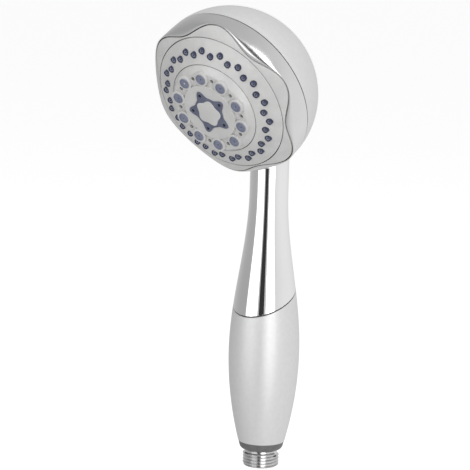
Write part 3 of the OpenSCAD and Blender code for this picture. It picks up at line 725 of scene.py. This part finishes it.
def painted_shade_in_pocket(x, y, z):
    """True on the pocket's floor and wall, which are painted nearly black as painted shade: the dark line round
    the trim.
    """
    wall_r = trim_r(atan2(y, x)) + POCKET_GAP
    inside_wall = sqrt(x * x + y * y) < wall_r + WALL_MARGIN
    return inside_wall and POCKET_H - FLOOR_MARGIN < z < band_h(wall_r) - LIP_MARGIN


scallops = shaped_ring("scalloped_ring", ring_section)
# The pocket's floor and wall take the nearly black seam finish, as painted shade in the gap round the trim.
two_tone(scallops, "ring_chrome", "dark_seam", painted_shade_in_pocket)
stand_in_head(scallops)
hand_over(scallops, "selector", "ring_chrome", "selector_ring")

# %% Wavy trim
TRIM_INSET, TRIM_SOFT, TRIM_LIFT = 0.12, 0.16, 0.2


def trim_section(a):
    edge = trim_r(a) - TRIM_INSET
    inner_top, outer_top = (INNER_R, band_h(INNER_R)), (edge, band_h(edge))
    points = [(INNER_R, POCKET_H + TRIM_LIFT)]
    points += rounded((INNER_R, POCKET_H), inner_top, outer_top, TRIM_SOFT, 3)
    points += rounded(inner_top, outer_top, (edge, POCKET_H), TRIM_SOFT, 3)
    return points + [(edge, POCKET_H + TRIM_LIFT)]


trim = shaped_ring("wavy_trim", trim_section)
stand_in_head(trim)
hand_over(trim, "selector", "face_grey", "trim_ring")

# %% [markdown]
# ## Spray face
# The fixed face has two parts. A sloping band carries 36 small nozzles in two rows, and a
# raised disc with a bevelled edge carries ten broad nozzles on round pads. Both are turned. The
# pads are added to the disc, and every nozzle's opening and the ten small holes are drilled, with
# Boolean modifiers, because none of these is round about the middle.

# %% Places round a circle, and one cutter made of many drills
def around(count, radius, turn):
    """Places on a circle, in the flat head frame."""
    angles = [turn + tau * i / count for i in range(count)]
    return [Vector((radius * cos(a), radius * sin(a), 0)) * MM for a in angles]


def joined(parts):
    clear_selection()
    for part in parts:
        part.select_set(True)
    bpy.context.view_layer.objects.active = parts[0]
    bpy.ops.object.join()
    bpy.ops.object.transform_apply(location=True, rotation=True, scale=True)
    return bpy.context.object


def drills(radius, places, sides=40, depth=14):
    """Cylinders with their middles on the places, joined into one cutter."""
    bits = []
    for place in places:
        clear_selection()
        bpy.ops.mesh.primitive_cylinder_add(
            vertices=sides, radius=radius * MM, depth=depth * MM, location=place)
        bits.append(bpy.context.object)
    return joined(bits)


# %% Sloping band
RIM_COUNT, OUTER_ROW_R, INNER_ROW_R, RIM_TURN = 18, 34.15, 32.1, radians(88.5)
RIM_R, RIM_TIP_R, RIM_STAND, JET_R = 1.85, 1.78, 0.9, 0.42
BAND_THICK, COLLAR_DROP, FACE_SKIRT, DISC_SKIRT = 2, 2.6, RING_BACK_H + 5.6, -8
bore_r, collar_r, collar_foot_r, skirt_r = DISC_R + 0.3, DISC_R + 1.1, DISC_R + 2.6, FACE_R - 2.15
band_corners = [
    (bore_r, band_h(bore_r)), (FACE_R, band_h(FACE_R)), (FACE_R, FACE_SKIRT),
    (skirt_r, FACE_SKIRT), (skirt_r, band_h(skirt_r) - BAND_THICK),
    (collar_foot_r, band_h(collar_foot_r) - BAND_THICK), (collar_r, band_h(DISC_R) - COLLAR_DROP),
    (collar_r, DISC_SKIRT), (bore_r, DISC_SKIRT)]
band = turned("spray_band", soften(band_corners, {0: 0.25, 1: 0.35}), 256)
nozzle_places = []
for row_r, turn in ((OUTER_ROW_R, RIM_TURN), (INNER_ROW_R, RIM_TURN + pi / RIM_COUNT)):
    for place in around(RIM_COUNT, row_r, turn):
        nozzle_places.append(place + Vector((0, 0, band_h(row_r) * MM)))
boolean(band, drills(RIM_R + PUSH_FIT, nozzle_places, 32), "DIFFERENCE")
finish_mesh(band)
stand_in_head(band)
hand_over(band, "handset", "face_grey", "spray_face")

# %% Raised disc with pads and small holes
DISC_TOP, PLATEAU_H, PLATEAU_R = -1.7, -0.4, 16.8
DISC_BEVEL, DISC_WALL, DISC_THICK, PAD_ROOT = 3, 1.8, 2, 1
LARGE_COUNT, LARGE_RING_R, LARGE_R, LARGE_TURN = 10, 20.7, 3.0, radians(87.5)
SMALL_HOLE_R, PAD_R = 1.15, 4.25
disc_corners = [
    (0, PLATEAU_H), (PLATEAU_R, PLATEAU_H), (PLATEAU_R, DISC_TOP), (DISC_R - DISC_BEVEL, DISC_TOP),
    (DISC_R, band_h(DISC_R)), (DISC_R, DISC_SKIRT), (DISC_R - DISC_WALL, DISC_SKIRT),
    (DISC_R - DISC_WALL, DISC_TOP - DISC_THICK), (0, DISC_TOP - DISC_THICK)]
disc_outline = soften(disc_corners, {1: 0.3, 2: 0.25, 3: 0.9, 4: 0.3})
disc = turned("spray_disc", disc_outline, 192, closed=False)
pad_corners = [
    (0, DISC_TOP - PAD_ROOT), (PAD_R, DISC_TOP - PAD_ROOT), (PAD_R, PLATEAU_H), (0, PLATEAU_H)]
pad_outline = soften(pad_corners, {2: 0.3})
broad_places = around(LARGE_COUNT, LARGE_RING_R, LARGE_TURN)
for place in broad_places:
    pad = turned("pad", pad_outline, 64, closed=False)
    pad.location = place
    boolean(disc, pad, "UNION")
half_step = pi / LARGE_COUNT
hole_places = around(LARGE_COUNT, LARGE_RING_R, LARGE_TURN + half_step)
boolean(disc, drills(LARGE_R + PUSH_FIT, broad_places, 64), "DIFFERENCE")
boolean(disc, drills(SMALL_HOLE_R, hole_places), "DIFFERENCE")
print("disc drilled")

# %% [markdown]
# ## Nozzles
# Each small nozzle is a stub of silicone with a rounded lip, a shallow cup and a jet in the
# middle. Lime is rubbed off such nozzles with a thumb, so they stand proud of the face. One is
# turned, and every other is a copy with its own mesh. The stub is painted nearly black, darker
# than its slate silicone, as painted shade on its sides. The cup takes the lighter silicone as a
# painted lit top. The broad nozzles are flat discs with a small jet too. All of one
# kind are joined, because they are one moulded mat behind the face.

# %% Copy one nozzle to many places
def mat_of(name, model, places):
    """Copy a flat-lying model to each place and join the copies into one piece."""
    copies = []
    for place in places:
        make_active(model)
        bpy.ops.object.duplicate(linked=False)
        copy = bpy.context.object
        copy.location = place
        copies.append(copy)
    bpy.data.objects.remove(model, do_unlink=True)
    mat = joined(copies)
    mat.name = name
    mat.data.name = name
    return stand_in_head(mat)


# %% Small nozzles of the band
RIM_ROOT, RIM_SHOULDER, JET_FLOOR = -3.2, 0.2, -1.6
tip_edge, cup_edge, cup_side = (RIM_TIP_R, RIM_STAND), (1.4, RIM_STAND), (1.28, 0.5)
cup_floor = [(1.2, 0.44), (JET_R + 0.05, 0.38)]
CUP_R, CUP_LOW = 1.27, 0.3
nozzle_outline = [(0, RIM_ROOT), (RIM_R, RIM_ROOT), (RIM_R, RIM_SHOULDER)]
nozzle_outline += rounded((RIM_R, RIM_SHOULDER), tip_edge, (1.0, RIM_STAND), 0.16, 3)
nozzle_outline += rounded(tip_edge, cup_edge, cup_side, 0.1, 3)
nozzle_outline += cup_floor + [(JET_R, CUP_LOW), (JET_R, JET_FLOOR), (0, JET_FLOOR)]
small_nozzle = turned("small_nozzle", nozzle_outline, 32, closed=False)
# The dark stub is painted shade on the nozzle's sides, and the lighter cup is a painted lit top.
two_tone(small_nozzle, "nozzle_rubber", "nozzle_rubber_light",
         lambda x, y, z: JET_R < sqrt(x * x + y * y) < CUP_R and z > CUP_LOW)
small_nozzles = mat_of("small_nozzles", small_nozzle, nozzle_places)
hand_over(small_nozzles, "handset", "nozzle_rubber", "rim_nozzle_mat")

# %% Broad nozzles of the disc
BROAD_ROOT, BROAD_LIP, BROAD_CUP = 2.5, 0.55, 0.65
BROAD_CUP_H, BROAD_JET_R, BROAD_JET_H = -0.35, 0.4, -2.2
broad_outline = [(0, DISC_TOP - BROAD_ROOT), (LARGE_R, DISC_TOP - BROAD_ROOT)]
broad_outline += rounded((LARGE_R, -1), (LARGE_R, 0), (LARGE_R - 1, 0), 0.3, 4)
broad_outline += [
    (LARGE_R - BROAD_LIP, 0), (LARGE_R - BROAD_CUP, BROAD_CUP_H), (0.5, BROAD_CUP_H),
    (BROAD_JET_R, -0.45), (BROAD_JET_R, BROAD_JET_H), (0, BROAD_JET_H)]
broad_nozzle = turned("broad_nozzle", broad_outline, 64, closed=False)
broad_nozzles = mat_of("broad_nozzles", broad_nozzle, broad_places)
hand_over(broad_nozzles, "handset", "nozzle_rubber_light", "disc_nozzle_mat")

# %% [markdown]
# ## Star and cap
# A dark five-pointed star with one jet near each point fills the middle, and a light cap sits
# in it. Their outlines are circles whose radius follows a cosine of the angle, sharpened for the
# star. A filled circle is moved to that outline, extruded to its height, and its top edge is
# bevelled.

# %% Outlines of the star and the cap, and a plug of any outline
STAR_POINTS, STAR_TURN = 5, radians(104.7)
STAR_SIDE_R, STAR_TIP_R, STAR_TOP, STAR_BACK = 9.2, 13.3, 0.2, -3
JET_RING_R, STAR_JET_R = 10.8, 0.95
STAR_SHARPNESS, CAP_R, CAP_SWING = 2.4, 7.35, 0.7


def star_r(a):
    wave = 0.5 + 0.5 * cos(STAR_POINTS * (a - STAR_TURN))
    return STAR_SIDE_R + (STAR_TIP_R - STAR_SIDE_R) * wave ** STAR_SHARPNESS


def cap_r(a):
    return CAP_R - CAP_SWING * cos(STAR_POINTS * (a - STAR_TURN))


def boss(name, outline_r, low, high, edge, count=160):
    """A plug whose outline follows outline_r(angle), with a rounded top edge."""
    clear_selection()
    bpy.ops.mesh.primitive_circle_add(vertices=count, radius=STAR_TIP_R * MM, fill_type="NGON")
    plug = bpy.context.object
    plug.name = name
    plug.data.name = name
    for v in plug.data.vertices:
        a = atan2(v.co.y, v.co.x)
        v.co = Vector((outline_r(a) * cos(a), outline_r(a) * sin(a), low)) * MM
    bpy.ops.object.mode_set(mode="EDIT")
    bpy.ops.mesh.select_all(action="SELECT")
    bpy.ops.mesh.extrude_region_move(TRANSFORM_OT_translate={"value": (0, 0, (high - low) * MM)})
    bpy.ops.mesh.bevel(offset=edge * MM, segments=3, profile=0.5, affect="EDGES")
    bpy.ops.object.mode_set(mode="OBJECT")
    return finish_mesh(plug, 40)


# %% [markdown]
# The disc gets its star-shaped opening first, a push fit wider than the star, and only then
# stands up in the head. The cutter is the same plug, long enough to go right through.

# %% Star-shaped opening of the disc
OPENING_BELOW, OPENING_TOP, OPENING_EDGE = 4, 3, 0.05
opening = boss(
    "star_opening", lambda a: star_r(a) + PUSH_FIT, DISC_TOP - OPENING_BELOW, OPENING_TOP, OPENING_EDGE)
boolean(disc, opening, "DIFFERENCE")
finish_mesh(disc)
stand_in_head(disc)
hand_over(disc, "handset", "face_grey", "inner_disc")

# %% Star insert
STAR_EDGE, STAR_DRILL = 0.25, 5.6
star = boss("star", star_r, STAR_BACK, STAR_TOP, STAR_EDGE)
jet_places = around(STAR_POINTS, JET_RING_R, STAR_TURN)
boolean(star, drills(STAR_JET_R, jet_places, 40, STAR_DRILL), "DIFFERENCE")
finish_mesh(star, 40)
stand_in_head(star)
hand_over(star, "handset", "star_slate", "star_insert")

# %% Centre cap
CAP_TOP, CAP_EDGE = 0.4, 0.35
cap = boss("cap", cap_r, STAR_BACK, CAP_TOP, CAP_EDGE)
stand_in_head(cap)
hand_over(cap, "handset", "face_grey", "centre_cap")

# %% [markdown]
# ## Studio
# Chrome has no colour of its own: it shows the room. Two tall soft boxes stand left and right
# of the camera and give the neck its white stripes, and a narrow dark card between them, behind
# the camera, gives the dark stripe down the middle. A third box above is kept out of the gloss:
# it lights the matt pieces and leaves the top of the ring an even grey. The floor is a pale sheet
# far below. The metal doesn't show it, because its far edge would draw a horizon on the neck. The
# boxes and the card don't show to the camera.

# %% Floor
FLOOR_DROP, FLOOR_SIZE, FLOOR_GLOW = 0.28, 60, 0.45
clear_selection()
bpy.ops.mesh.primitive_plane_add(size=FLOOR_SIZE, location=(0, 0, cad_box[0].z - FLOOR_DROP))
floor = bpy.context.object
floor.name = "floor"
paper = bpy.data.materials.new("paper")
paper.use_nodes = True
paper_shader = paper.node_tree.nodes["Principled BSDF"]
paper_shader.inputs["Base Color"].default_value = (0.9, 0.9, 0.9, 1)
paper_shader.inputs["Roughness"].default_value = 0.9
paper_shader.inputs["Emission Color"].default_value = (1, 1, 1, 1)
paper_shader.inputs["Emission Strength"].default_value = FLOOR_GLOW
floor.data.materials.append(paper)
floor.visible_glossy = False
floor.visible_diffuse = False
print("floor", round(FLOOR_DROP / MM), "mm below the inlet")

# %% Soft boxes
TARGET = Vector((0, -0.02, 0.15))


def around_target(turn, height, distance):
    """A place round the object: turn 0 is the camera's side, positive to its right."""
    a = LOOK_ROUND + turn
    return TARGET + Vector((sin(a) * distance, -cos(a) * distance, height))


def soft_box(name, turn, height, distance, width, tall, power, in_gloss=True):
    place = around_target(turn, height, distance)
    aim = (TARGET - place).to_track_quat("-Z", "Y").to_euler()
    bpy.ops.object.light_add(type="AREA", location=place, rotation=aim)
    box = bpy.context.object
    box.name = name
    box.data.shape = "RECTANGLE"
    box.data.size = width
    box.data.size_y = tall
    box.data.energy = power
    box.visible_camera = False
    box.visible_glossy = in_gloss


soft_box("left_box", radians(-50), height=0.3, distance=1.3, width=1.1, tall=1.7, power=6.4)
soft_box("right_box", radians(18), height=0.2, distance=1.3, width=0.75, tall=1.7, power=9)
soft_box(
    "top_box", radians(10), height=1.6, distance=0.3, width=1.8, tall=1.8, power=12, in_gloss=False)
print("three soft boxes")

# %% Dark card
CARD_W, CARD_TALL = 0.6, 2.4
card_place = around_target(radians(-14), height=0.1, distance=1.9)
clear_selection()
bpy.ops.mesh.primitive_plane_add(size=1, location=card_place)
card = bpy.context.object
card.name = "dark_card"
card.rotation_euler = (TARGET - card_place).to_track_quat("-Z", "Y").to_euler()
card.scale = (CARD_W, CARD_TALL, 1)
black = bpy.data.materials.new("black_card")
black.use_nodes = True
black_shader = black.node_tree.nodes["Principled BSDF"]
black_shader.inputs["Base Color"].default_value = (0.02, 0.02, 0.02, 1)
card.data.materials.append(black)
card.visible_camera = False
card.visible_shadow = False
card.visible_diffuse = False
print("dark card", CARD_W, "by", CARD_TALL, "m")

# %% [markdown]
# The room is a plain grey that grows brighter to the right and downwards. The dark left side
# keeps the chrome's left edge apart from the pale floor behind it. The dot product with a fixed
# direction says how far to the right each part of the room lies.

# %% Room
ROOM_DARK, ROOM_BRIGHT, ROOM_DOWN = 0.42, 0.86, -0.5
world = bpy.data.worlds.new("studio")
bpy.context.scene.world = world
world.use_nodes = True
sky = world.node_tree.nodes["Background"]
sky.inputs["Color"].default_value = (1, 1, 1, 1)
room, wires = world.node_tree.nodes, world.node_tree.links
direction = room.new("ShaderNodeTexCoord")
rightward = room.new("ShaderNodeVectorMath")
rightward.operation = "DOT_PRODUCT"
rightward.inputs[1].default_value = (cos(LOOK_ROUND), sin(LOOK_ROUND), ROOM_DOWN)
wall = room.new("ShaderNodeMapRange")
wall.inputs["From Min"].default_value = -1
wall.inputs["To Min"].default_value = ROOM_DARK
wall.inputs["To Max"].default_value = ROOM_BRIGHT
wires.new(direction.outputs["Generated"], rightward.inputs[0])
wires.new(rightward.outputs["Value"], wall.inputs["Value"])
wires.new(wall.outputs["Result"], sky.inputs["Strength"])
bpy.context.scene.view_settings.view_transform = "Standard"
print("studio ready")
